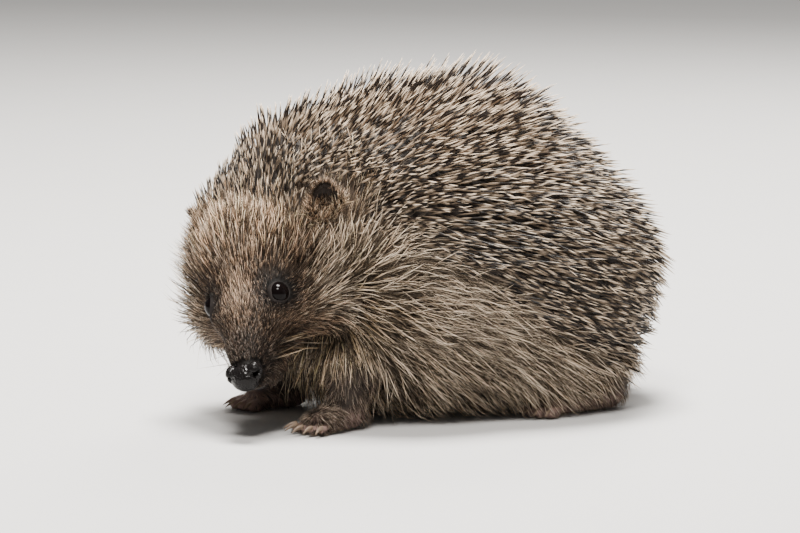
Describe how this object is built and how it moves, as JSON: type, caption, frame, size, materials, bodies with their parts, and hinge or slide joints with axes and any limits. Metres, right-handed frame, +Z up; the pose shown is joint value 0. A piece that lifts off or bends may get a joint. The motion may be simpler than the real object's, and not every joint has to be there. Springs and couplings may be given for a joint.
{
  "type": "hedgehog model",
  "caption": "Still, life-size European hedgehog, hunched on all fours with its head low and turned left, in a coat of backswept spines over long flank hair.",
  "frame": {"origin": "on the floor, under the middle of the whole", "axes": "-X towards the head end of the body, +X towards the rump, -Y towards the animal's left, +Z up"},
  "size_m": [0.1774, 0.1144, 0.1194],
  "materials": {
    "coat": "spiny, satin",
    "face": "short matt fur",
    "ear": "matt skin with a furry rim",
    "eye": "wet gloss",
    "nose": "wet, leathery",
    "skin": "thin matt fur",
    "paw": "bare matt skin"
  },
  "bodies": {
    "root": {"head": "face", "nose": "nose", "eye_left": "eye", "eye_right": "eye", "ear_left": "ear", "ear_right": "ear", "neck": "coat", "torso_front": "coat", "torso_rear": "coat", "tail": "skin", "leg_fore_left": "skin", "paw_fore_left": "paw", "leg_fore_right": "skin", "paw_fore_right": "paw", "leg_hind_left": "skin", "paw_hind_left": "paw", "leg_hind_right": "skin", "paw_hind_right": "paw"}
  },
  "joints": []
}
